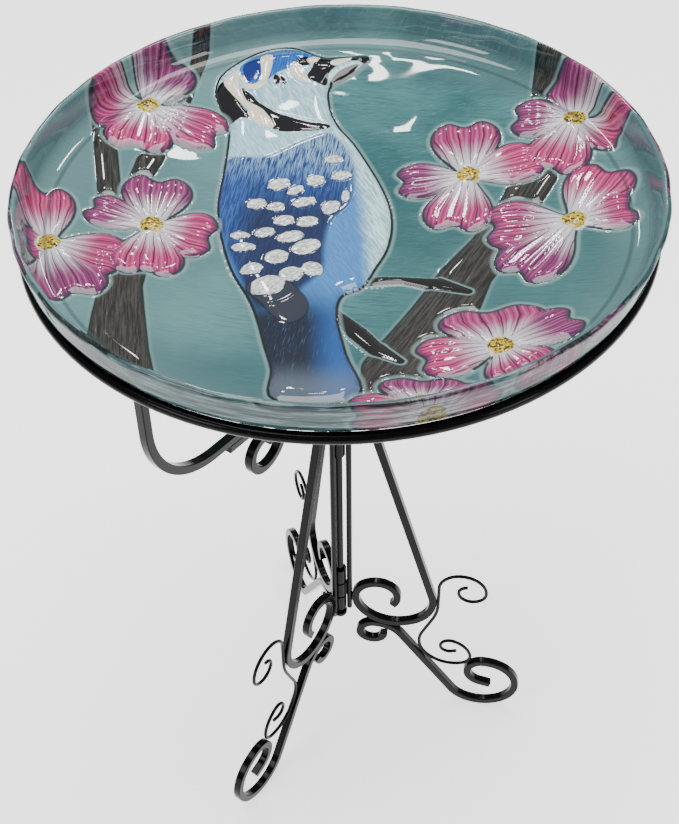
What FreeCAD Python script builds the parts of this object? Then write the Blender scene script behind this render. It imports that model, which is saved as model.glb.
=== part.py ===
"""Bird bath: an embossed glass bowl in a steel ring, on a folding stand of three scrolled legs.

+Z is up. The origin is on the floor, on the axis of the centre post. Millimetres throughout.
Each leg is drawn in its own upright plane, x outwards from the post and z up, then turned
about the post to its place.
"""
import FreeCAD, Part
import math
import os
import Sketcher

os.makedirs("parts", exist_ok=True)
doc = FreeCAD.newDocument("bird_bath")
V = FreeCAD.Vector
UP = V(0, 0, 1)

# ---- driving dimensions ---------------------------------------------------------------------
sheet = doc.addObject("Spreadsheet::Sheet", "Dims")
DIMS = {
    "rim_radius": 228.6,        # an 18 inch bowl
    "rim_height": 640,
    "glass_wall": 5.4,
    "lip_drop": 16,             # the upright lip above the shoulder
    "lip_slope": 3.1,
    "shoulder_radius": 17.5,
    "dish_rise": 22.8,          # from the underside's middle to the shoulder
    "ring_wire": 8,             # diameter of the ring's bar
    "slip": 0.3,                # air between pieces that lift or swing apart
    "bar_side": 7,              # square bar of the legs
    "bar_round": 0.8,           # rounding of the bar's long edges
    "wire": 3.2,                # diameter of the tendrils
    "foot_grind": 0.4,          # ground off each foot for a flat to stand on
    "post_dia": 7,
    "post_low": 130,
    "post_high": 486,
    "cap_dia": 13,
    "cap_tall": 8,
    "stile_dia": 5,
    "stile_reach": 8.9,         # stile axis from the post axis
    "stile_low": 136,
    "stile_high": 476,
    "sleeve_bore": 7.6,
    "sleeve_dia": 12,
    "sleeve_tall": 18,
    "sleeve_pitch": 20,         # one sleeve above the next
    "lower_sleeves": 136,
    "upper_sleeves": 350,
    "lug_side": 5,
    "leg_1_turn": -4,           # where each leg stands, in degrees about the post
    "leg_2_turn": -121,
    "leg_3_turn": 112,
}
for row, (alias, value) in enumerate(DIMS.items(), start=1):
    sheet.set("A%d" % row, alias)
    sheet.set("B%d" % row, str(value))
    sheet.setAlias("B%d" % row, alias)
doc.recompute()


def dim(name):
    return float(sheet.get(name))


def bind(thing, prop, formula):
    """Tie a property to cells of the sheet; $ stands for the sheet's name."""
    thing.setExpression(prop, formula.replace("$", "Dims."))


# ---- bodies and sketches --------------------------------------------------------------------
SUBPARTS = []


def new_body(label):
    body = doc.addObject("PartDesign::Body", label)
    body.Label = label
    SUBPARTS.append(body)
    return body


def new_sketch(body, role, name):
    plane = [f for f in body.Origin.OriginFeatures if f.Role == role][0]
    sketch = body.newObject("Sketcher::SketchObject", name)
    sketch.AttachmentSupport = [(plane, "")]
    sketch.MapMode = "FlatFace"
    return sketch


def turned(piece, turn):
    piece.Placement = FreeCAD.Placement(V(0, 0, 0), FreeCAD.Rotation(UP, turn))


# ---- scrollwork: a path is a start, a heading and a list of moves ---------------------------
# A move is ("run", length) or ("bend", radius, turn), where a positive turn goes to the left.
def walk(start, heading, moves):
    """The path's pieces in order: (kind, first point, last point, centre, radius, turn)."""
    x, z = start
    angle = math.radians(heading)
    pieces = []
    for move in moves:
        first = (x, z)
        if move[0] == "run":
            x += move[1] * math.cos(angle)
            z += move[1] * math.sin(angle)
            pieces.append(("run", first, (x, z), None, 0, angle))
            continue
        radius, turn = move[1], math.radians(move[2])
        side = math.copysign(1, turn)
        centre = (x - side * radius * math.sin(angle), z + side * radius * math.cos(angle))
        angle += turn
        x = centre[0] + side * radius * math.sin(angle)
        z = centre[1] - side * radius * math.cos(angle)
        pieces.append(("bend", first, (x, z), centre, radius, turn))
    return pieces


def offset_edge(piece, shift):
    """The piece's edge, moved to the left of the path by shift."""
    kind, first, last, centre, radius, turn = piece
    if kind == "run":
        dx, dz = -shift * math.sin(turn), shift * math.cos(turn)
        return Part.LineSegment(V(first[0] + dx, first[1] + dz, 0), V(last[0] + dx, last[1] + dz, 0))
    side = math.copysign(1, turn)
    circle = Part.Circle(V(centre[0], centre[1], 0), UP, radius - side * shift)
    begin = math.atan2(first[1] - centre[1], first[0] - centre[0])
    low, high = sorted((begin, begin + turn))
    return Part.ArcOfCircle(circle, low, high)


def edge_ends(edge, piece):
    """First and last point of an edge, in the path's direction."""
    ends = [edge.StartPoint, edge.EndPoint]
    if piece[0] == "bend" and piece[5] < 0:
        ends.reverse()
    return ends


def square_bar(label, turn, start, heading, moves):
    """A square bar bent on the flat along a path in the leg's plane."""
    body = new_body(label)
    path = walk(start, heading, moves)
    half = dim("bar_side") / 2
    sketch = new_sketch(body, "XZ_Plane", label + "_outline")
    left = [offset_edge(piece, half) for piece in path]
    right = [offset_edge(piece, -half) for piece in path]
    caps = []
    for end, piece in ((0, path[0]), (-1, path[-1])):
        near = edge_ends(left[end], piece)[end]
        far = edge_ends(right[end], piece)[end]
        caps.append(Part.LineSegment(near, far))
    sketch.addGeometry(left + right + caps, False)
    pad = body.newObject("PartDesign::Pad", label + "_bar")
    pad.Profile = sketch
    pad.Midplane = True
    bind(pad, "Length", "$bar_side")
    doc.recompute()
    long_edges = []
    for number, edge in enumerate(pad.Shape.Edges, start=1):
        middle = edge.valueAt((edge.FirstParameter + edge.LastParameter) / 2)
        if abs(edge.Vertexes[0].Y - edge.Vertexes[-1].Y) < 1e-6 and edge.Length > dim("bar_side") + 0.01:
            if abs(abs(middle.y) - half) < 1e-6:
                long_edges.append("Edge%d" % number)
    rounding = body.newObject("PartDesign::Fillet", label + "_rounding")
    rounding.Base = (pad, long_edges)
    bind(rounding, "Radius", "$bar_round")
    turned(body, turn)
    return body


def round_wire(label, turn, start, heading, moves):
    """A round wire bent along a path in the leg's plane."""
    body = new_body(label)
    spine = new_sketch(body, "XZ_Plane", label + "_line")
    spine.addGeometry([offset_edge(piece, 0) for piece in walk(start, heading, moves)], False)
    doc.recompute()
    section = body.newObject("Sketcher::SketchObject", label + "_section")
    section.AttachmentSupport = [(spine, "Edge1")]
    section.MapMode = "NormalToEdge"
    section.addGeometry(Part.Circle(V(0, 0, 0), UP, dim("wire") / 2), False)
    section.addConstraint(Sketcher.Constraint("Radius", 0, dim("wire") / 2))
    bind(section, "Constraints[0]", "$wire / 2")
    sweep = body.newObject("PartDesign::AdditivePipe", label + "_wire")
    sweep.Profile = section
    sweep.Spine = spine
    sweep.Transition = "Right corner"
    turned(body, turn)
    return body


# ---- the glass bowl and the ring it sits in -------------------------------------------------
rim = dim("rim_radius")
top = dim("rim_height")
wall = dim("glass_wall")
shoulder_out = dim("shoulder_radius")
shoulder_in = shoulder_out - wall
shoulder_x = rim - dim("lip_slope") - shoulder_out
shoulder_z = top - dim("lip_drop")
SHOULDER_END = math.radians(-80)        # where the shoulder runs into the dish


def on_shoulder(radius, angle):
    return V(shoulder_x + radius * math.cos(angle), shoulder_z + radius * math.sin(angle), 0)


def glass_bowl():
    body = new_body("glass_bowl")
    sketch = new_sketch(body, "XZ_Plane", "bowl_section")
    bead = wall / 2                      # the rim is a round bead
    outer_end = on_shoulder(shoulder_out, SHOULDER_END)
    inner_end = on_shoulder(shoulder_in, SHOULDER_END)
    outer_floor = V(0, outer_end.y - dim("dish_rise"), 0)
    inner_floor = outer_floor + V(0, wall, 0)

    def dish(floor, end):
        rise = end.y - floor.y
        radius = (end.x ** 2 + rise ** 2) / (2 * rise)
        circle = Part.Circle(floor + V(0, radius, 0), UP, radius)
        return Part.ArcOfCircle(circle, -math.pi / 2, -math.pi / 2 + math.asin(end.x / radius))

    def shoulder(radius, end):
        circle = Part.Circle(V(shoulder_x, shoulder_z, 0), UP, radius)
        return Part.ArcOfCircle(circle, SHOULDER_END, end)

    sketch.addGeometry([
        dish(outer_floor, outer_end),
        shoulder(shoulder_out, 0),
        Part.LineSegment(on_shoulder(shoulder_out, 0), V(rim, top - bead, 0)),
        Part.ArcOfCircle(Part.Circle(V(rim - bead, top - bead, 0), UP, bead), 0, math.pi),
        Part.LineSegment(V(rim - wall, top - bead, 0), on_shoulder(shoulder_in, 0)),
        shoulder(shoulder_in, 0),
        dish(inner_floor, inner_end),
        Part.LineSegment(inner_floor, outer_floor),
    ], False)
    turn = body.newObject("PartDesign::Revolution", "bowl_turned")
    turn.Profile = sketch
    turn.ReferenceAxis = (sketch, ["V_Axis"])
    turn.Angle = 360


RING_TILT = math.radians(-48)            # the ring touches the shoulder on this slope
ring_half = dim("ring_wire") / 2
ring_at = on_shoulder(shoulder_out + dim("slip") + ring_half, RING_TILT)


def support_ring():
    ring = doc.addObject("Part::Torus", "support_ring")
    ring.Label = "support_ring"
    ring.Radius1 = ring_at.x
    bind(ring, "Radius2", "$ring_wire / 2")
    ring.Placement = FreeCAD.Placement(V(0, 0, ring_at.y), FreeCAD.Rotation())
    SUBPARTS.append(ring)


# ---- the post and its caps ------------------------------------------------------------------
def centre_post():
    post = doc.addObject("Part::Cylinder", "centre_post")
    post.Label = "centre_post"
    bind(post, "Radius", "$post_dia / 2")
    bind(post, "Height", "$post_high - $post_low")
    post.Placement = FreeCAD.Placement(V(0, 0, dim("post_low")), FreeCAD.Rotation())
    SUBPARTS.append(post)


def post_cap(label, seat, side):
    """A domed cap on the post's end, its flat towards the sleeves. side is 1 up or -1 down."""
    body = new_body(label)
    sketch = new_sketch(body, "XZ_Plane", label + "_section")
    half, tall = dim("cap_dia") / 2, dim("cap_tall")
    skirt = tall * 0.4
    middle = (tall ** 2 - half ** 2 - skirt ** 2) / (2 * (tall - skirt))   # the dome's centre
    dome = Part.Circle(V(0, seat + side * middle, 0), UP, tall - middle)
    brow = side * math.atan2(skirt - middle, half)
    crown = side * math.pi / 2
    sketch.addGeometry([
        Part.LineSegment(V(0, seat, 0), V(half, seat, 0)),
        Part.LineSegment(V(half, seat, 0), V(half, seat + side * skirt, 0)),
        Part.ArcOfCircle(dome, min(brow, crown), max(brow, crown)),
        Part.LineSegment(V(0, seat + side * tall, 0), V(0, seat, 0)),
    ], False)
    turn = body.newObject("PartDesign::Revolution", label + "_turned")
    turn.Profile = sketch
    turn.ReferenceAxis = (sketch, ["V_Axis"])
    turn.Angle = 360


# ---- a leg ----------------------------------------------------------------------------------
stile_face = dim("stile_reach") + dim("stile_dia") / 2
bar_half = dim("bar_side") / 2
weld = 0.1                               # how far a bar's end bites into the stile
seam = 0.01                              # the same where two bars lie side by side

# the big bend and the C scroll share one radius, so the scroll comes back to the stile
BEND = 36
bend_x = stile_face + bar_half + BEND - weld
bend_z = 156
SLOPE = -75.6                            # the upright's heading, down and outwards

ARM_RISE = 9                             # the arm's slope before it turns up to the ring
ARM_ROOT = 470
ARM_TURN = 75
arm_top = ring_at.y - ring_half - dim("slip")
arm_reach = ring_at.x - 4


def upright(label, turn):
    """From the post down and out, round the lower bend and back to the post in a C scroll."""
    lean = math.radians(SLOPE)
    foot = (bend_x - BEND * math.sin(lean), bend_z + BEND * math.cos(lean))
    top_x = stile_face + bar_half * math.cos(math.radians(90 + SLOPE)) - 4 * weld
    length = (foot[0] - top_x) / math.cos(lean)
    start = (foot[0] - length * math.cos(lean), foot[1] - length * math.sin(lean))
    square_bar(label, turn, start, SLOPE, [
        ("run", length),
        ("bend", BEND, -(180 + SLOPE) - 90),
        ("bend", 21, -90),
        ("bend", 18, -130),
    ])


def ring_arm(label, turn):
    """From the stile outwards, then up to the underside of the ring."""
    rise = math.radians(ARM_RISE)
    start = (stile_face - weld, ARM_ROOT)
    out = arm_reach - ARM_TURN * (1 - math.sin(rise))
    length = (out - start[0]) / math.cos(rise)
    knee = ARM_ROOT + length * math.sin(rise) + ARM_TURN * math.cos(rise)
    square_bar(label, turn, start, ARM_RISE, [
        ("run", length),
        ("bend", ARM_TURN, 90 - ARM_RISE),
        ("run", arm_top - knee),
    ])


def corner_scroll(label, turn):
    """Lies along the arm's underside, then curls down and in."""
    rise = math.radians(ARM_RISE)
    reach = 140
    under = ARM_ROOT + (reach - stile_face) * math.tan(rise) - dim("bar_side") / math.cos(rise)
    square_bar(label, turn, (reach, under + seam), 180 + ARM_RISE, [
        ("run", 33),
        ("bend", 40, 50),
        ("bend", 21, 121),
        ("bend", 18, 90),
        ("bend", 14, 90),
        ("bend", 10, 100),
    ])


def foot_scroll(label, turn):
    """A small curl under the bend, a long slope to the floor, and the big scroll of the foot."""
    sweep = 33
    slope = math.radians(58)
    shoulder = 30
    touch = BEND + shoulder + 2 * bar_half - weld      # centre to centre, where the two bars meet
    crest_x = 33
    crest = (crest_x, bend_z - math.sqrt(touch ** 2 - (bend_x - crest_x) ** 2) + shoulder)
    leave = (crest[0] + shoulder * math.sin(slope), crest[1] - shoulder * (1 - math.cos(slope)))
    land = bar_half + sweep * (1 - math.cos(slope)) - dim("foot_grind")
    foot = square_bar(label, turn, (crest[0] + 9, crest[1] - 15), -90, [
        ("bend", 11, -90),
        ("bend", 12, -90),
        ("bend", 14, -90),
        ("bend", shoulder, -58),
        ("run", (leave[1] - land) / math.sin(slope)),
        ("bend", sweep, 148),
        ("bend", 32, 90),
        ("bend", 15, 90),
        ("bend", 18, 75),
        ("run", 10),
    ])
    inner, outer, depth = 100, 180, -10
    below = [V(inner, depth, 0), V(outer, depth, 0), V(outer, 0, 0), V(inner, 0, 0)]
    ground = new_sketch(foot, "XZ_Plane", label + "_ground")
    ground.addGeometry([Part.LineSegment(below[i], below[(i + 1) % 4]) for i in range(4)], False)
    flat = foot.newObject("PartDesign::Pocket", label + "_flat")
    flat.Profile = ground
    flat.Midplane = True
    bind(flat, "Length", "$bar_side * 3")


def tendril(label, turn):
    """A wire spiral outside the bend, an S past the foot bar and a spiral above the foot."""
    outside = bend_x + BEND + bar_half + dim("wire") / 2 - weld
    round_wire(label, turn, (outside + 26, 182), 180, [
        ("bend", 8, 90),
        ("bend", 12, 90),
        ("bend", 13, 90),
        ("bend", 23, 90),
        ("bend", 20, 90),
        ("run", 27),
        ("bend", 60, -22),
        ("run", 24),
        ("bend", 34, 87),
        ("bend", 28, 45),
        ("bend", 13, 80),
        ("bend", 26, 60),
        ("bend", 9, 130),
        ("bend", 8, 90),
        ("run", 5),
    ])


def stile(label, turn):
    rod = doc.addObject("Part::Cylinder", label)
    rod.Label = label
    bind(rod, "Radius", "$stile_dia / 2")
    bind(rod, "Height", "$stile_high - $stile_low")
    across = math.radians(turn)
    reach = dim("stile_reach")
    foot = V(reach * math.cos(across), reach * math.sin(across), dim("stile_low"))
    rod.Placement = FreeCAD.Placement(foot, FreeCAD.Rotation(UP, turn))
    SUBPARTS.append(rod)


def sleeve(label, turn, low):
    """A short tube round the post with a lug that is welded to the stile."""
    body = new_body(label)
    ring = new_sketch(body, "XY_Plane", label + "_ring")
    ring.addGeometry([Part.Circle(V(0, 0, 0), UP, dim("sleeve_dia") / 2)], False)
    ring.addConstraint(Sketcher.Constraint("Radius", 0, dim("sleeve_dia") / 2))
    bind(ring, "Constraints[0]", "$sleeve_dia / 2")
    tube = body.newObject("PartDesign::Pad", label + "_tube")
    tube.Profile = ring
    bind(tube, "Length", "$sleeve_tall")

    reach = dim("stile_reach") - dim("stile_dia") / 2 + weld / 2
    half = dim("lug_side") / 2
    corners = [V(0, -half, 0), V(reach, -half, 0), V(reach, half, 0), V(0, half, 0)]
    lug = new_sketch(body, "XY_Plane", label + "_lug")
    lug.addGeometry([Part.LineSegment(corners[i], corners[(i + 1) % 4]) for i in range(4)], False)
    block = body.newObject("PartDesign::Pad", label + "_block")
    block.Profile = lug
    bind(block, "Length", "$sleeve_tall")

    bore = new_sketch(body, "XY_Plane", label + "_bore")
    bore.addGeometry([Part.Circle(V(0, 0, 0), UP, dim("sleeve_bore") / 2)], False)
    bore.addConstraint(Sketcher.Constraint("Radius", 0, dim("sleeve_bore") / 2))
    bind(bore, "Constraints[0]", "$sleeve_bore / 2")
    hole = body.newObject("PartDesign::Pocket", label + "_hole")
    hole.Profile = bore
    hole.Type = "ThroughAll"
    hole.Reversed = True
    body.Placement = FreeCAD.Placement(V(0, 0, low), FreeCAD.Rotation(UP, turn))


def leg(number, turn, floor):
    name = "leg_%d_" % number
    upright(name + "upright", turn)
    ring_arm(name + "ring_arm", turn)
    corner_scroll(name + "corner_scroll", turn)
    foot_scroll(name + "foot_scroll", turn)
    tendril(name + "tendril", turn)
    stile(name + "stile", turn)
    sleeve(name + "lower_sleeve", turn, dim("lower_sleeves") + floor * dim("sleeve_pitch"))
    sleeve(name + "upper_sleeve", turn, dim("upper_sleeves") + floor * dim("sleeve_pitch"))


glass_bowl()
support_ring()
centre_post()
post_cap("post_top_cap", dim("post_high"), 1)
post_cap("post_bottom_cap", dim("post_low"), -1)
for number, floor in ((1, 1), (2, 0), (3, 2)):     # leg 2 has the lowest sleeves
    leg(number, dim("leg_%d_turn" % number), floor)
doc.recompute()

# ---- check, then write ----------------------------------------------------------------------
for thing in doc.Objects:
    if "Invalid" in thing.State or "Error" in thing.State:
        raise RuntimeError("%s failed: %s" % (thing.Label, thing.State))
for part in SUBPARTS:
    shape = part.Shape
    if shape.isNull() or not shape.isValid() or len(shape.Solids) != 1:
        raise RuntimeError("%s is not one valid solid" % part.Label)
    box = shape.optimalBoundingBox(False)
    print("%-24s volume %9.0f  z %6.1f to %6.1f" % (part.Label, shape.Volume, box.ZMin, box.ZMax))
    shape.exportStep("parts/%s.step" % part.Label)
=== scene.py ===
"""Bird bath: an embossed, painted glass bowl on a black scrolled stand.

The steel pieces come from the frame and get their enamel here. The glass bowl is turned and
embossed here, and stands for the plain bowl of the frame. Lengths in the drawing of the bowl
are millimetres, x to the right and y to the back, from the middle of the bowl.
"""

import math

import bpy
import numpy as np
from mathutils import Matrix, Vector, noise


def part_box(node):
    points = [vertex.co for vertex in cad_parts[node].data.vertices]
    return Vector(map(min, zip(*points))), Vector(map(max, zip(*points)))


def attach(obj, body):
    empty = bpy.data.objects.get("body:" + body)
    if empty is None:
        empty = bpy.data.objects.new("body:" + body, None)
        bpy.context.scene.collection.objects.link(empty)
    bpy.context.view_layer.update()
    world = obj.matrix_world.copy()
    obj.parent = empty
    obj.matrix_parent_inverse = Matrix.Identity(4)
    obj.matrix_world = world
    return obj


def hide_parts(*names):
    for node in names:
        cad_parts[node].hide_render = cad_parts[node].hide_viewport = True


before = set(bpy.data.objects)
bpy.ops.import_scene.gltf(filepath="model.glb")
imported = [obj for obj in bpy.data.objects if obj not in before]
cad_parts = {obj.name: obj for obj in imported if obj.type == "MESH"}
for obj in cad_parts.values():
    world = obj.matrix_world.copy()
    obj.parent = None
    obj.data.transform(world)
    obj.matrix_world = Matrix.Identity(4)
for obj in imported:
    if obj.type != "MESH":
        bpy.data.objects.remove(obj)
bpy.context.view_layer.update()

MM = 0.001


# ---- shader maths -----------------------------------------------------------------------------
class Value:
    """One socket of a material; + - * on it add the Math nodes."""

    def __init__(self, finish, socket):
        self.finish, self.socket = finish, socket

    def maths(self, operation, *others):
        return self.finish.node("Math", {"operation": operation}, [self, *others])

    def __add__(self, other):
        return self.maths("ADD", other)

    def __sub__(self, other):
        return self.maths("SUBTRACT", other)

    def __mul__(self, other):
        return self.maths("MULTIPLY", other)

    def __rsub__(self, other):
        return self.finish.node("Math", {"operation": "SUBTRACT"}, [other, self])

    __radd__, __rmul__ = __add__, __mul__

    def maximum(self, other):
        return self.maths("MAXIMUM", other)

    def step(self, low, high):
        """0 below low, 1 above high, and a smooth slope between."""
        settings = {"interpolation_type": "SMOOTHSTEP"}
        return self.finish.node("MapRange", settings, [self, low, high])


class Finish:
    """A material in the making."""

    def __init__(self, name):
        self.material = bpy.data.materials.new(name)
        self.material.use_nodes = True
        self.tree = self.material.node_tree
        self.shader = self.tree.nodes["Principled BSDF"]

    def feed(self, socket, value):
        if isinstance(value, Value):
            self.tree.links.new(value.socket, socket)
        elif hasattr(socket.default_value, "__len__") and len(socket.default_value) == 4:
            socket.default_value = (*value[:3], 1)
        else:
            socket.default_value = value

    def node(self, kind, settings=None, values=(), output=0):
        """Add a node: its settings first, then its inputs by place or by name."""
        made = self.tree.nodes.new("ShaderNode" + kind)
        for name, setting in (settings or {}).items():
            setattr(made, name, setting)
        pairs = values.items() if isinstance(values, dict) else enumerate(values)
        for place, value in pairs:
            self.feed(made.inputs[place], value)
        return Value(self, made.outputs[output])

    def mix(self, share, first, second):
        """Two colours mixed by share."""
        return self.node("Mix", {"data_type": "RGBA"}, {0: share, 6: first, 7: second}, 2)

    def noise(self, at, scale, detail=2.0, roughness=0.5):
        values = {"Vector": at, "Scale": scale, "Detail": detail, "Roughness": roughness}
        return self.node("TexNoise", None, values)

    def place(self):
        return self.node("TexCoord", output=3)

    def stretched(self, at, scale, turn=0.0):
        """at, turned about Z and scaled, so that a texture is drawn out along a stroke."""
        values = {"Vector": at, "Rotation": (0, 0, turn), "Scale": scale}
        return self.node("Mapping", {"vector_type": "TEXTURE"}, values)

    def drawn(self, name):
        """A layer of the drawing, kept on the bowl's points."""
        return self.node("Attribute", {"attribute_name": name}, output=2)

    def bump(self, height, distance, strength=1.0):
        values = {"Strength": strength, "Distance": distance, "Height": height}
        return self.node("Bump", None, values)

    def finish(self, **sockets):
        for name, value in sockets.items():
            self.feed(self.shader.inputs[name.replace("_", " ")], value)
        return self.material


# ---- the steel's enamel -----------------------------------------------------------------------
def black_enamel():
    f = Finish("black_enamel")
    at = f.place()
    cloud = f.noise(at, 60, 3)
    peel = f.noise(at, 900, 2)
    wear = f.noise(at, 260, 5, 0.65).step(0.66, 0.74)
    return f.finish(
        Base_Color=f.mix(wear, (0.0012, 0.0012, 0.0014), (0.010, 0.0095, 0.009)),
        Roughness=0.09 + cloud * 0.08 + wear * 0.25,
        Specular_IOR_Level=0.11,
        Normal=f.bump(peel + wear * 0.5, 0.00010, 0.4),
    )


# ---- the drawing in the bowl ------------------------------------------------------------------
def smooth_loop(points, steps=5):
    """A closed curve through the points."""
    p = np.array(points, float)
    before, after, beyond = np.roll(p, 1, 0), np.roll(p, -1, 0), np.roll(p, -2, 0)
    rows = []
    for t in np.arange(steps) / steps:
        rows.append(0.5 * (2 * p + (after - before) * t + (2 * before - 5 * p + 4 * after - beyond)
                           * t ** 2 + (3 * p - before - 3 * after + beyond) * t ** 3))
    return np.stack(rows, 1).reshape(-1, 2)


def segment_gap(at, first, last):
    """Distance of each point from a segment, and how far along it the nearest place is."""
    run = last - first
    share = np.clip(((at - first) @ run) / max(run @ run, 1e-9), 0, 1)
    return np.hypot(*(at - first - share[:, None] * run).T), share


FAR = -60.0


def inside(at, loop):
    """How deep each point lies inside a closed loop, in mm; negative outside."""
    depth = np.full(len(at), FAR)
    near = np.all((at > loop.min(0) - 14) & (at < loop.max(0) + 14), 1)
    q = at[near]
    gap = np.full(len(q), 1e9)
    crossed = np.zeros(len(q), bool)
    for first, last in zip(loop, np.roll(loop, -1, 0)):
        gap = np.minimum(gap, segment_gap(q, first, last)[0])
        if first[1] != last[1]:
            spans = (first[1] > q[:, 1]) != (last[1] > q[:, 1])
            side = first[0] + (q[:, 1] - first[1]) / (last[1] - first[1]) * (last[0] - first[0])
            crossed ^= spans & (q[:, 0] < side)
    depth[near] = np.where(crossed, gap, -gap)
    return depth


def shape(at, *outlines):
    return np.max([inside(at, smooth_loop(outline)) for outline in outlines], 0)


def stroke(at, points):
    """Depth inside a tapered stroke; each point is x, y, half the width."""
    depth = np.full(len(at), FAR)
    for (x0, y0, w0), (x1, y1, w1) in zip(points, points[1:]):
        gap, share = segment_gap(at, np.array([x0, y0]), np.array([x1, y1]))
        depth = np.maximum(depth, w0 + (w1 - w0) * share - gap)
    return depth


def ovals(at, rows):
    """Depth inside the nearest of many ovals: x, y, half length, half width, turn."""
    depth = np.full(len(at), FAR)
    for x, y, half, narrow, turn in rows:
        a = math.radians(turn)
        u = (at[:, 0] - x) * math.cos(a) + (at[:, 1] - y) * math.sin(a)
        v = (at[:, 1] - y) * math.cos(a) - (at[:, 0] - x) * math.sin(a)
        depth = np.maximum(depth, (1 - np.hypot(u / half, v / narrow)) * narrow)
    return depth


BODY = [(16, 195), (-5, 195), (-22, 195), (-44, 204), (-64, 201), (-82, 189), (-98, 170), (-102, 151),
        (-96, 132), (-88, 114), (-86, 90), (-86, 56), (-86, 20), (-80, -15), (-69, -51), (-54, -82),
        (-46, -104), (-38, -134), (-31, -160), (-26, -192), (24, -186), (14, -140), (6, -100),
        (8, -76), (22, -65), (30, -44), (37, -24), (40, 0), (38, 24), (31, 48), (20, 74), (8, 98),
        (-5, 118), (-13, 141), (-13, 163), (2, 176)]
WING = [(-86, 72), (-57, 76), (-33, 95), (-10, 106), (5, 88), (12, 60), (10, 27), (-3, 4), (-6, -24),
        (-6, -50), (-16, -69), (-30, -88), (-48, -93), (-63, -62), (-77, -27), (-86, 12), (-88, 49)]
OVALS = [(-5, 75, 7, 5, 5), (2, 56, 8, 5, 10), (-44, 44, 9, 6, 35), (-31, 38, 7, 4.5, 40),
         (-17, 50, 7, 6, 20), (6, 33, 3, 7, 0), (-58, 20, 7.5, 6, 28), (-44, 18, 6.5, 5, 28),
         (-24, 25, 9.5, 5, 26), (-4, 20, 8, 6.5, 56), (-37, 3, 8, 5.5, 20), (-20, 3, 8, 5.5, 20),
         (-67, -17, 7, 4, 0), (-50, -12, 7.5, 5, 36), (-31, -15, 10, 6, 28), (-63, -30, 9, 5, 8),
         (-39, -39, 9, 7.5, 28), (-19, -26, 11, 8, 34), (-55, -54, 8, 6, 30), (-27, -58, 9, 8, 28),
         (-13, -51, 7.5, 8, 28), (-42, -72, 13, 10.5, 42)]
TIP = [(-57, -72), (-44, -92), (-36, -104), (-26, -112), (-16, -106), (-13, -92), (-20, -76),
       (-38, -62)]
CROWN = [(-77, 190), (-62, 200), (-44, 203), (-24, 195), (-36, 190), (-44, 180), (-56, 172),
         (-66, 160), (-80, 159), (-86, 173)]
CROWN_DARK = [(-83, 176), (-76, 186), (-69, 188), (-67, 178), (-72, 165), (-79, 161)]
BLACKS = [
    [(-102, 152), (-95, 159), (-84, 139), (-72, 121), (-80, 119), (-88, 115), (-97, 133)],
    [(-84, 154), (-74, 146), (-65, 136), (-52, 127), (-35, 121), (-23, 118), (-10, 116), (-16, 110),
     (-46, 106), (-56, 111), (-62, 125), (-77, 138)],
    [(-24, 193), (-5, 195), (16, 196), (14, 189), (3, 189), (-8, 183), (-14, 175), (-16, 162),
     (-26, 165), (-32, 169), (-28, 180)],
    [(-13, 166), (-6, 178), (9, 187), (-1, 171), (-11, 162)],
    [(-41, 186), (-36, 192), (-29, 191), (-29, 184), (-37, 182)],
    [(-57, 172), (-53, 165), (-54, 159), (-58, 163)],
    [(-53, 173), (-47, 162), (-51, 161)],
]
CREAMS = [
    [(-97, 159), (-86, 173), (-85, 156), (-78, 140), (-63, 129), (-53, 111), (-61, 110), (-72, 118),
     (-76, 130), (-88, 143)],
    [(-86, 173), (-77, 157), (-68, 165), (-70, 190), (-62, 194), (-60, 181), (-65, 157), (-79, 153)],
    [(-12, 190), (2, 194), (2, 190), (-7, 184), (-13, 184)],
    [(-46, 180), (-42, 186), (-37, 180), (-30, 163), (-39, 166)],
    [(-33, 189), (-27, 194), (-22, 192), (-29, 184)],
]
WOOD = [
    [(-145, -58, 17), (-142, -82, 14), (-138, -115, 17), (-132, -155, 20), (-120, -192, 19)],
    [(-189, 108, 5), (-177, 66, 8), (-166, 15, 8)],
    [(-114, 200, 4), (-121, 172, 5), (-132, 100, 5), (-144, 62, 9), (-151, 25, 6)],
    [(143, 52, 16), (134, 28, 14), (112, -22, 16), (92, -56, 18), (76, -100, 22), (48, -155, 22),
     (34, -182, 12)],
    [(156, 165, 9), (153, 140, 9), (150, 112, 8)],
]
PERCH = [
    [(25, -59, 5), (50, -59, 4), (72, -64, 7), (94, -75, 3)],
    [(4, -92, 3), (21, -117, 7), (37, -139, 6), (50, -150, 3)],
]
# each flower: its middle, then each petal's direction in degrees, length and half width
FLOWERS = [
    ((-153, 123), [(-171, 43, 25), (76, 54, 24), (-23, 65, 23), (-94, 50, 26)]),
    ((-131, -12), [(93, 57, 25), (-7, 45, 25), (-87, 55, 25), (163, 50, 17)]),
    ((-198, -48), [(104, 62, 20), (-6, 52, 24), (-61, 62, 26), (-160, 15, 16)]),
    ((95, 57), [(92, 61, 25), (-176, 51, 19), (-100, 61, 24), (17, 54, 22)]),
    ((174, 110), [(73, 36, 26), (-47, 46, 15), (-111, 60, 24), (169, 45, 20)]),
    ((167, -4), [(62, 62, 24), (12, 42, 20), (-127, 70, 24), (179, 59, 27)]),
    ((113, -137), [(98, 44, 34), (31, 57, 17), (-58, 32, 24), (-167, 52, 21)]),
    ((64, -196), [(90, 28, 26), (20, 40, 12), (-178, 44, 12)]),
]
# a petal's half outline, as shares of its length and half width, ending in the notch
PETAL = [(0.05, 0.16), (0.2, 0.42), (0.42, 0.8), (0.65, 1.0), (0.86, 0.9), (0.99, 0.5)]
NOTCH = (0.9, 0.0)


def petal_loop(length, half):
    outline = [*PETAL, NOTCH, *((u, -v) for u, v in reversed(PETAL))]
    return smooth_loop([(u * length, v * half) for u, v in outline])


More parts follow.
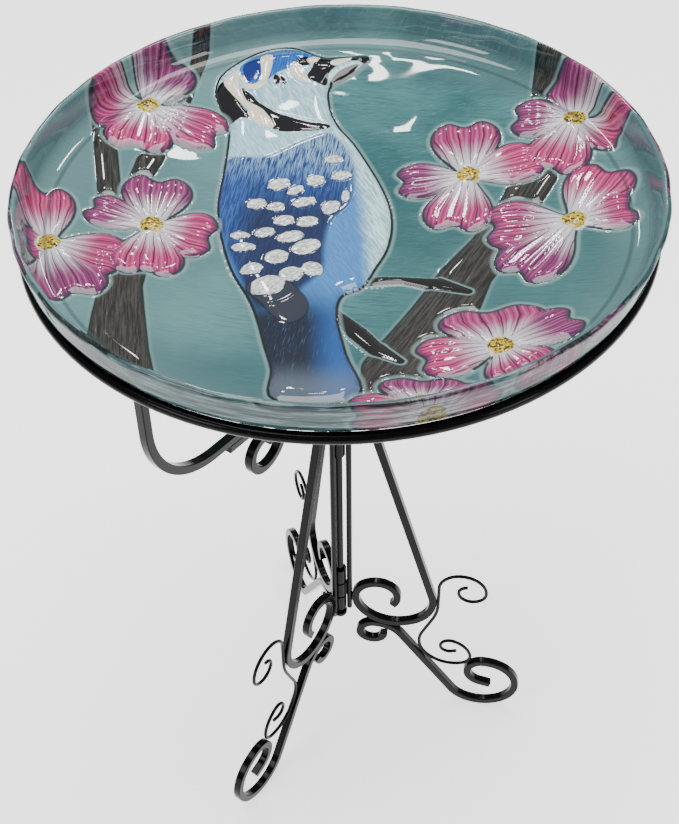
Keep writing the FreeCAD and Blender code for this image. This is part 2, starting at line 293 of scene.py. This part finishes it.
def pillow(depth, height, reach):
    """A rounded step: nothing at the edge, full height reach inside it."""
    return height * np.sqrt(1 - (1 - np.clip(depth / reach, 0, 1)) ** 2)


def groove(depth, deep, wide):
    """A soft valley that follows an outline."""
    return -deep * np.exp(-((depth + wide * 0.6) / wide) ** 2)


def emboss(at):
    """The relief's height in mm at each point of the dish, and the layers of the drawing."""
    body, wing = shape(at, BODY), shape(at, WING)
    layers = {
        "body": body,
        "wing": wing,
        "ovals": ovals(at, OVALS),
        "tip": shape(at, TIP),
        "crown": shape(at, CROWN),
        "crown_dark": shape(at, CROWN_DARK),
        "black": shape(at, *BLACKS),
        "cream": shape(at, *CREAMS),
        "wood": np.max([stroke(at, row) for row in WOOD], 0),
        "perch": np.max([stroke(at, row) for row in PERCH], 0),
    }
    petals = np.full(len(at), FAR)
    along, across = np.zeros(len(at)), np.zeros(len(at))
    shade = np.zeros(len(at))
    dome = np.zeros(len(at))
    heart = np.full(len(at), FAR)
    for flower, (middle, rows) in enumerate(FLOWERS):
        local = at - np.array(middle)
        heart = np.maximum(heart, 8.5 - np.hypot(*local.T))
        for number, (turn, length, half) in enumerate(rows):
            a = math.radians(turn)
            uv = local @ np.array([[math.cos(a), -math.sin(a)], [math.sin(a), math.cos(a)]])
            depth = inside(uv, petal_loop(length, half))
            mine = depth > petals
            petals = np.where(mine, depth, petals)
            along = np.where(mine, uv[:, 0] / length, along)
            fan = uv[:, 1] / (half * (0.25 + 0.75 * np.clip(uv[:, 0] / length * 1.5, 0, 1)))
            across = np.where(mine, fan, across)
            shade = np.where(mine, math.sin(flower * 2.1 + number * 1.7) * 0.5 + 0.5, shade)
            cup = 1 - 0.45 * np.clip(uv[:, 0] / length, 0, 1) * (1 - np.abs(fan).clip(0, 1) ** 2)
            ripple = 0.22 * np.sin(fan * 15) * np.clip(depth / 5, 0, 1)
            dome = np.where(mine, pillow(depth, 3.6, 8) * cup + ripple, dome)
    layers.update(petals=petals, along=along, across=across, shade=shade, heart=heart)

    height = np.zeros(len(at))
    height += pillow(layers["wood"], 2.0, 8) + groove(layers["wood"], 0.8, 2.5)
    twig = np.maximum(height, pillow(layers["perch"], 2.4, 4))
    height = np.where(layers["perch"] > -3, twig, height)
    height += groove(body, 1.5, 3.5)
    height = np.where(body > 0, pillow(body, 4.0, 14), height)
    height += pillow(wing, 0.8, 6) * (body > 0) + pillow(layers["ovals"], 0.5, 3)
    height += pillow(layers["tip"], 0.4, 6)
    height += pillow(layers["cream"], 0.5, 2.5) + groove(np.abs(layers["black"]) - 1, 0.25, 1.5)
    flat = petals <= 0
    height += groove(petals, 1.4, 3.0) * flat
    height = np.where(flat, height, np.maximum(height * 0.35, 0) + dome)
    height = np.maximum(height, pillow(heart, 4.2, 6))
    return height, layers


# ---- the bowl's section, as shares of the frame's bowl ----------------------------------------
low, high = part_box("glass_bowl")
RIM = high.x / MM
TOP = high.z / MM
FLOOR = low.z / MM
WALL = 5.4
SHOULDER = 17.5                      # outer radius where the dish turns up
LIP_DROP, LIP_SLOPE = 16, 3.1        # the lip stands this tall and leans out this much
SHOULDER_X, SHOULDER_Z = RIM - LIP_SLOPE - SHOULDER, TOP - LIP_DROP
SHOULDER_END = math.radians(-80)
SEE_LOW = 602.0                      # the outer wall shows the drawing above this height,
SEE_TOP_RADIUS, SEE_SPREAD = 192, 28  # from this far out at the rim to this much more
SWELL_WIDE, SWELL_HIGH = 38, 0.5     # the cast face is never quite true
FADE = 12                            # the relief dies away this near the edge of the dish
AROUND = 576                         # segments round the bowl
ACROSS = 122                         # rings of the embossed side


def dish_arc(floor, radius, count):
    """Section points of the dish, from the middle to the shoulder."""
    x_end = SHOULDER_X + radius * math.cos(SHOULDER_END)
    rise = SHOULDER_Z + radius * math.sin(SHOULDER_END) - floor
    bend = (x_end ** 2 + rise ** 2) / (2 * rise)
    xs = np.linspace(0, x_end, count)
    return [(x, floor + bend - math.sqrt(bend ** 2 - x ** 2)) for x in xs]


def arc(x, z, radius, start, stop, count):
    angles = np.linspace(start, stop, count)
    return [(x + radius * math.cos(a), z + radius * math.sin(a)) for a in angles]


def bowl_section():
    bead = WALL / 2
    outside = dish_arc(FLOOR, SHOULDER, 14)
    outside += arc(SHOULDER_X, SHOULDER_Z, SHOULDER, SHOULDER_END, 0, 9)[1:]
    rim = arc(RIM - bead, TOP - bead, bead, 0, math.pi, 8)
    outside += zip(np.linspace(outside[-1][0], RIM, 6)[1:-1],
                   np.linspace(outside[-1][1], TOP - bead, 6)[1:-1])
    inner = SHOULDER - WALL
    inside_face = arc(SHOULDER_X, SHOULDER_Z, inner, 0, SHOULDER_END, 8)
    inside_face += dish_arc(FLOOR + WALL, inner, ACROSS)[::-1][1:]
    return outside + rim + inside_face


def only(obj):
    """Nothing else selected, and obj active."""
    bpy.ops.object.select_all(action="DESELECT")
    obj.select_set(True)
    bpy.context.view_layer.objects.active = obj


def turned_bowl(name):
    """Spin the section round the axis and close it at both poles."""
    section = bowl_section()
    bpy.ops.object.select_all(action="DESELECT")
    bpy.ops.mesh.primitive_circle_add(vertices=len(section), radius=RIM * MM, fill_type="NOTHING")
    bowl = bpy.context.object
    bowl.name = bowl.data.name = name
    for vertex, (x, z) in zip(bowl.data.vertices, section):
        vertex.co = (x * MM, 0, z * MM)
    only(bowl)
    axis_edge = [e.index for e in bowl.data.edges
                 if all(abs(bowl.data.vertices[v].co.x) < 1e-7 for v in e.vertices)]
    bpy.ops.object.mode_set(mode="EDIT")
    bpy.ops.mesh.select_mode(type="EDGE")
    bpy.ops.mesh.select_all(action="DESELECT")
    bpy.ops.object.mode_set(mode="OBJECT")
    for index in axis_edge:
        bowl.data.edges[index].select = True
    bpy.ops.object.mode_set(mode="EDIT")
    bpy.ops.mesh.delete(type="EDGE")
    bpy.ops.mesh.select_mode(type="VERT")
    bpy.ops.mesh.select_all(action="SELECT")
    bpy.ops.mesh.spin(steps=AROUND, angle=2 * math.pi, center=(0, 0, 0), axis=(0, 0, 1))
    bpy.ops.mesh.select_all(action="SELECT")
    bpy.ops.mesh.remove_doubles(threshold=1e-6)
    bpy.ops.mesh.normals_make_consistent(inside=False)
    bpy.ops.object.mode_set(mode="OBJECT")
    return bowl


def embossed_bowl():
    bowl = turned_bowl("painted_bowl")
    mesh = bowl.data
    co = np.empty(len(mesh.vertices) * 3, np.float32)
    mesh.vertices.foreach_get("co", co)
    co = co.reshape(-1, 3)
    at = co[:, :2] / MM
    radius = np.hypot(*at.T)
    level = co[:, 2] / MM
    bend = dish_arc(FLOOR + WALL, SHOULDER - WALL, ACROSS)
    edge = bend[-1][0]
    face = np.interp(radius, [x for x, z in bend], [z for x, z in bend])
    on_face = (np.abs(level - face) < 0.6) & (radius <= edge + 0.01)
    shoulder = np.hypot(radius - SHOULDER_X, level - SHOULDER_Z) < SHOULDER - WALL / 2
    climb = np.clip((level - SHOULDER_Z) / (TOP - SHOULDER_Z), 0, 1)
    wall = (climb > 0) & (radius < RIM - LIP_SLOPE - WALL / 2 + LIP_SLOPE * climb)
    inner = on_face | ((radius > SHOULDER_X) & shoulder) | wall
    # the outer wall shows the edge of the drawing through the glass
    outer = (level > SEE_LOW) & ~inner & (radius > edge)
    seen = SEE_TOP_RADIUS + (TOP - level) / (TOP - SEE_LOW) * SEE_SPREAD
    drawn_at = at * np.where(outer, seen / np.maximum(radius, 1), 1)[:, None]
    height, layers = emboss(drawn_at)
    fade = np.clip((edge + 1 - radius) / FADE, 0, 1)
    swell = np.array([noise.noise(Vector((x / SWELL_WIDE, y / SWELL_WIDE, 0))) for x, y in at])
    swell *= SWELL_HIGH
    co[:, 2] += np.where(on_face, (height + swell) * fade, 0) * MM
    # the lip of pressed glass is never quite even
    lip = np.clip((co[:, 2] / MM - SHOULDER_Z) / 10, 0, 1) * (radius > edge)
    around = np.arctan2(at[:, 1], at[:, 0])
    wobble = 0.25 * np.sin(around * 23) + 0.18 * np.sin(around * 41 + 1) - 0.43
    co[:, 0] += lip * wobble * np.cos(around) * MM
    co[:, 1] += lip * wobble * np.sin(around) * MM
    mesh.vertices.foreach_set("co", co.ravel())
    layers["inner"] = inner.astype(float)
    for name, layer in layers.items():
        kept = mesh.attributes.new(name, "FLOAT", "POINT")
        kept.data.foreach_set("value", layer.astype(np.float32))
    mesh.update()
    only(bowl)
    bpy.ops.object.shade_smooth()
    return bowl


# ---- the paint under the glass ----------------------------------------------------------------
def painted_glass():
    f = Finish("painted_glass")
    at = f.place()
    x, y, z = (f.node("SeparateXYZ", None, [at], i) for i in range(3))
    flat = f.node("CombineXYZ", None, [x, y, 0.0])
    radius = f.node("VectorMath", {"operation": "LENGTH"}, [flat], 1)

    # the water and sky: teal, brushed
    brush = f.noise(f.stretched(at, (0.02, 0.002, 0.02), math.radians(-8)), 1.0, 4, 0.6)
    fine = f.noise(f.stretched(at, (0.009, 0.0008, 0.01), math.radians(12)), 1.0, 3, 0.6)
    clouds = f.noise(at, 9, 2)
    ground = f.mix(clouds.step(0.38, 0.62), (0.018, 0.088, 0.098), (0.060, 0.185, 0.188))
    ground = f.mix(brush.step(0.45, 0.7) * 0.6, ground, (0.014, 0.066, 0.076))
    ground = f.mix(fine.step(0.5, 0.72) * 0.35, ground, (0.16, 0.30, 0.30))
    ground = f.mix((0.0 - x).step(0.01, 0.10) * 0.40, ground, (0.17, 0.31, 0.31))
    right = x.step(0.0, 0.10) * (0.10 - y).step(0.0, 0.10)
    ground = f.mix(right * 0.5, ground, (0.030, 0.095, 0.100))
    ground = f.mix((0.0 - y).step(0.11, 0.17) * 0.6, ground, (0.022, 0.090, 0.105))
    ground = f.mix(radius.step(0.17, 0.215) * 0.3, ground, (0.15, 0.24, 0.24))

    # wood: bark in long fibres
    wood = f.drawn("wood")
    left = (0.0 - x).step(-0.01, 0.01)
    lean = [f.noise(f.stretched(at, (0.0014, 0.025, 0.01), math.radians(turn)), 1.0, 5, 0.7)
            for turn in (-25, 9)]
    fibre = lean[0] * (1 - left) + lean[1] * left
    knots = f.noise(at, 70, 4, 0.7)
    bark = f.mix(fibre.step(0.38, 0.62), (0.009, 0.009, 0.008), (0.048, 0.047, 0.042))
    bark = f.mix(knots.step(0.58, 0.7) * 0.6, bark, (0.02, 0.018, 0.017))
    bark = f.mix(fibre.step(0.66, 0.7) * 0.7, bark, (0.23, 0.225, 0.21))
    bark = f.mix((3.0 - wood).step(0.0, 3.0) * 0.6, bark, (0.012, 0.011, 0.010))
    colour = f.mix(wood.step(-4.5, -1.6) * 0.35, ground, (0.20, 0.31, 0.30))
    colour = f.mix(wood.step(-1.6, -0.4), colour, (0.008, 0.014, 0.015))
    colour = f.mix(wood.step(0.0, 1.0), colour, bark)
    perch = f.drawn("perch")
    colour = f.mix(perch.step(-2.2, -0.8) * 0.8, colour, (0.16, 0.28, 0.28))
    colour = f.mix(perch.step(-0.4, 0.4), colour, (0.006, 0.006, 0.006))

    # the bird: pale breast, blue back, deep blue wing with silver ovals
    body = f.drawn("body")
    wing = f.drawn("wing")
    strokes = f.noise(f.stretched(at, (0.0011, 0.012, 0.01), math.radians(28)), 1.0, 4, 0.6)
    plume = f.mix(strokes.step(0.4, 0.6), (0.25, 0.46, 0.51), (0.62, 0.88, 0.90))
    nape = f.noise(f.stretched(at, (0.0009, 0.014, 0.01), math.radians(-6)), 1.0, 4, 0.65)
    plume = f.mix((0.0 - x).step(-0.005, 0.03) * 0.5, plume, (0.26, 0.52, 0.66))
    flank = (0.029 - x - y * 0.10).step(0.0, 0.015) * (0.085 - y).step(0.0, 0.06)
    plume = f.mix(flank * 0.9, plume, (0.018, 0.155, 0.46))
    blue = f.mix(nape.step(0.42, 0.62), (0.010, 0.035, 0.16), (0.035, 0.125, 0.40))
    deep = (0.070 - y).step(0.0, 0.07)
    blue = f.mix(deep * (x + 0.085).step(0.0, 0.03) * 0.85, blue, (0.008, 0.012, 0.035))
    top = (y - 0.035).step(0.0, 0.055)
    blue = f.mix(top * nape.step(0.42, 0.6) * 0.9, blue, (0.28, 0.48, 0.58))
    feather = f.mix(wing.step(-3.0, 3.5), plume, blue)
    tail = (0.0 - y).step(0.060, 0.110)
    tail_blue = f.mix((x + y * 0.06).step(-0.022, 0.004), (0.007, 0.012, 0.026), (0.010, 0.085, 0.30))
    tail_blue = f.mix(nape.step(0.56, 0.7) * 0.5, tail_blue, (0.05, 0.13, 0.26))
    tail_blue = f.mix((0.0 - y).step(0.150, 0.185) * 0.6, tail_blue, (0.13, 0.17, 0.22))
    feather = f.mix(tail, feather, tail_blue)
    tip = f.drawn("tip")
    feather = f.mix(tip.step(-1.2, -0.2) * 0.8, feather, (0.004, 0.006, 0.012))
    feather = f.mix(tip.step(-0.2, 0.8), feather, (0.024, 0.030, 0.045))
    face = (y - 0.112).step(0.0, 0.006)
    cheek = f.mix(strokes.step(0.42, 0.6), (0.24, 0.45, 0.55), (0.50, 0.72, 0.78))
    feather = f.mix(face, feather, cheek)
    crown = f.mix(nape.step(0.4, 0.65), (0.008, 0.06, 0.30), (0.025, 0.19, 0.56))
    crown = f.mix(f.drawn("crown_dark").step(-0.5, 0.5), crown, (0.004, 0.02, 0.15))
    feather = f.mix(f.drawn("crown").step(-0.4, 0.4), feather, crown)
    feather = f.mix(f.drawn("black").step(-0.4, 0.4), feather, (0.003, 0.003, 0.004))
    feather = f.mix(f.drawn("cream").step(-0.4, 0.4), feather, (0.72, 0.66, 0.54))
    speck = f.noise(f.stretched(at, (0.0007, 0.003, 0.01), math.radians(-62)), 1.0, 3)
    silver = f.mix(speck.step(0.44, 0.56), (0.30, 0.31, 0.31), (0.84, 0.87, 0.86))
    ragged = f.drawn("ovals") + f.noise(at, 190, 3) * 3.0 - 1.5
    feather = f.mix(ragged.step(-0.9, -0.2) * 0.7, feather, (0.006, 0.010, 0.03))
    feather = f.mix(ragged.step(-0.2, 0.5), feather, silver)
    colour = f.mix(body.step(-5.5, -2.6) * 0.5, colour, (0.24, 0.36, 0.36))
    colour = f.mix(body.step(-2.5, -1.2), colour, (0.004, 0.010, 0.012))
    colour = f.mix(body.step(-0.2, 0.6), colour, feather)

    # the flowers: white hearts, pink to plum edges, dark veins, gold middles
    petals, along, across = f.drawn("petals"), f.drawn("along"), f.drawn("across")
    shade = f.drawn("shade")
    waver = f.noise(at, 55, 2) * 1.2
    ray = f.node("Math", {"operation": "SINE"}, [across * 17 + waver * 2.2])
    thread = f.node("Math", {"operation": "SINE"}, [across * 41 + waver * 5])
    pink = f.mix(shade, (0.47, 0.035, 0.150), (0.21, 0.026, 0.125))
    blush = f.mix(along.step(0.14, 0.64), (0.60, 0.62, 0.65), pink)
    glow = ray.step(0.1, 1.0) * (1 - along.step(0.3, 0.75))
    blush = f.mix(glow * 0.5, blush, (0.66, 0.66, 0.70))
    blush = f.mix(thread.step(0.5, 1.0) * 0.22, blush, (0.60, 0.36, 0.46))
    fine_vein = (0.0 - thread).step(0.7, 1.0) * along.step(0.15, 0.4)
    blush = f.mix(fine_vein * 0.6, blush, (0.085, 0.010, 0.055))
    vein = (0.0 - ray).step(0.86, 0.98) * along.step(0.1, 0.22)
    blush = f.mix(vein * 0.85, blush, (0.040, 0.008, 0.034))
    rim_shade = (4.5 - petals).step(0.0, 4.5) * (0.25 + along.step(0.3, 0.8) * 0.55)
    blush = f.mix(rim_shade, blush, (0.075, 0.018, 0.080))
    halo = petals.step(-5.5, -2.6)
    colour = f.mix(halo * 0.55, colour, (0.24, 0.36, 0.36))
    colour = f.mix(petals.step(-2.5, -1.0) * 0.92, colour, (0.008, 0.013, 0.015))
    colour = f.mix(petals.step(-0.2, 0.5), colour, blush)
    heart = f.drawn("heart")
    grains = f.noise(at, 420, 3, 0.7)
    gold = f.mix(grains.step(0.44, 0.54), (0.045, 0.030, 0.002), (0.62, 0.44, 0.025))
    colour = f.mix(heart.step(-2.2, -0.4), colour, (0.50, 0.54, 0.48))
    colour = f.mix(heart.step(-0.2, 0.4), colour, gold)

    # the lip is dark glass over the edge of the drawing, with painted reflections in dark and pale
    # streaks along it; below it is the paint's back
    inner = f.drawn("inner")
    streak_and_reflection = f.noise(f.stretched(at, (0.03, 0.03, 0.0022)), 1.0, 3, 0.6)
    lip = f.mix(0.62, colour, (0.005, 0.020, 0.025))
    # painted reflection: dark streaks along the lip
    lip = f.mix(streak_and_reflection.step(0.52, 0.60) * 0.85, lip, (0.002, 0.006, 0.007))
    # painted reflection: pale streaks along the lip
    lip = f.mix((0.44 - streak_and_reflection).step(0.0, 0.06) * 0.35, lip, (0.26, 0.38, 0.38))
    lip = f.mix((0.612 - z).step(0.0, 0.008) * 0.8, lip, (0.002, 0.006, 0.007))
    back = f.mix(brush, (0.10, 0.20, 0.21), (0.20, 0.31, 0.31))
    outside = f.mix((0.600 - z).step(0.0, 0.008), lip, back)
    # painted shade: a dark line along the crease where the dish turns up into the lip
    crease = (radius - 0.2065).maximum(0.2065 - radius)
    colour = f.mix((0.0022 - crease).step(0.0, 0.0016) * 0.55, colour, (0.02, 0.055, 0.06))
    colour = f.mix(inner.step(0.2, 0.8), outside, colour)
    ripple = f.noise(at, 45, 2) * 0.6 + fine * 0.25 + nape * body.step(0.0, 2.0) * 0.3
    ripple = ripple + streak_and_reflection * (1 - inner) * 1.2
    return f.finish(
        Base_Color=colour,
        Roughness=0.14 + fine * 0.08,
        Specular_IOR_Level=0.0,
        Coat_Weight=0.6 + inner.step(0.2, 0.8) * 0.4,
        Coat_Roughness=0.02,
        Coat_IOR=1.6,
        Normal=f.bump(ripple, 0.0009, 0.6),
    )


enamel = black_enamel()
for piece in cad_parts.values():
    for slot in piece.material_slots:
        slot.material = enamel

bowl = embossed_bowl()
bowl.data.materials.append(painted_glass())
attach(bowl, "bowl")
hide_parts("glass_bowl")


# ---- floor, light and camera ------------------------------------------------------------------
PANE_HEIGHT, PANE_WATTS = 2.92, 110  # metres above the floor; watts for each square metre
EYE = (0.0511, -0.8001, 1.2309)
AIM = (-0.793, 0.156, -0.080)        # pitch, yaw and roll, in radians
LENS, SHIFT = 74.74, (0.1375, -0.015)


def studio():
    bpy.ops.object.select_all(action="DESELECT")
    bpy.ops.mesh.primitive_plane_add(size=12, location=(0, 0, -0.0005))
    floor = bpy.context.object
    floor.name = "studio_floor"
    f = Finish("pale_floor")
    tone = f.noise(f.place(), 2, 2)
    floor.data.materials.append(f.finish(
        Base_Color=f.mix(tone, (0.92, 0.92, 0.92), (0.95, 0.95, 0.95)),
        Roughness=0.8, Emission_Color=(1, 1, 1), Emission_Strength=1.4))

    world = bpy.data.worlds.new("studio_light")
    world.use_nodes = True
    world.node_tree.nodes["Background"].inputs["Color"].default_value = (1, 1, 1, 1)
    world.node_tree.nodes["Background"].inputs["Strength"].default_value = 0.45
    bpy.context.scene.world = world

    def softbox(name, place, target, width, height, power):
        bpy.ops.object.light_add(type="AREA", location=place)
        lamp = bpy.context.object
        lamp.name = name
        lamp.data.shape = "RECTANGLE"
        lamp.data.size, lamp.data.size_y = width, height
        lamp.data.energy = power
        lamp.rotation_euler = (Vector(target) - Vector(place)).to_track_quat("-Z", "Y").to_euler()

    softbox("overhead", (-0.1, 0.15, 3.1), (0, 0, 0.4), 2.8, 1.7, 95)
    # small bright panes behind the bath, seen as glints in the glass: x, y, width, height
    panes = {
        "far": (-0.14, 1.84, 0.12, 0.05),
        "left": (-0.55, 2.1, 0.2, 0.2),
        "head": (-0.10, 2.2, 0.05, 0.08),
        "right": (0.22, 2.3, 0.22, 0.2),
        "low": (-0.42, 3.2, 0.15, 0.25),
    }
    for name, (across, away, width, height) in panes.items():
        power = PANE_WATTS * width * height
        softbox("pane_" + name, (across, away, PANE_HEIGHT), (0, 0, 0.6), width, height, power)
    softbox("front_left", (-2.4, -2.4, 2.2), (0, 0, 0.4), 1.4, 1.4, 45)
    softbox("front_right", (2.6, -1.6, 1.6), (0, 0, 0.4), 0.8, 1.4, 20)


def camera():
    """Stands in front of the bath and looks down into the bowl."""
    pitch, yaw, roll = AIM
    ahead = Vector((0, math.cos(pitch), math.sin(pitch)))
    right, up = Vector((1, 0, 0)), Vector((0, -math.sin(pitch), math.cos(pitch)))
    turn = Matrix.Rotation(yaw, 3, "Z")
    ahead, right, up = turn @ ahead, turn @ right, turn @ up
    side = right * math.cos(roll) + up * math.sin(roll)
    head = up * math.cos(roll) - right * math.sin(roll)
    data = bpy.data.cameras.new("camera")
    data.sensor_fit = "HORIZONTAL"
    data.sensor_width = 36
    data.lens = LENS
    data.shift_x, data.shift_y = SHIFT
    data.clip_start = 0.05
    eye = bpy.data.objects.new("camera", data)
    bpy.context.scene.collection.objects.link(eye)
    basis = Matrix((side, head, -ahead)).transposed()
    eye.matrix_world = Matrix.Translation(EYE) @ basis.to_4x4()
    bpy.context.scene.camera = eye


studio()
camera()
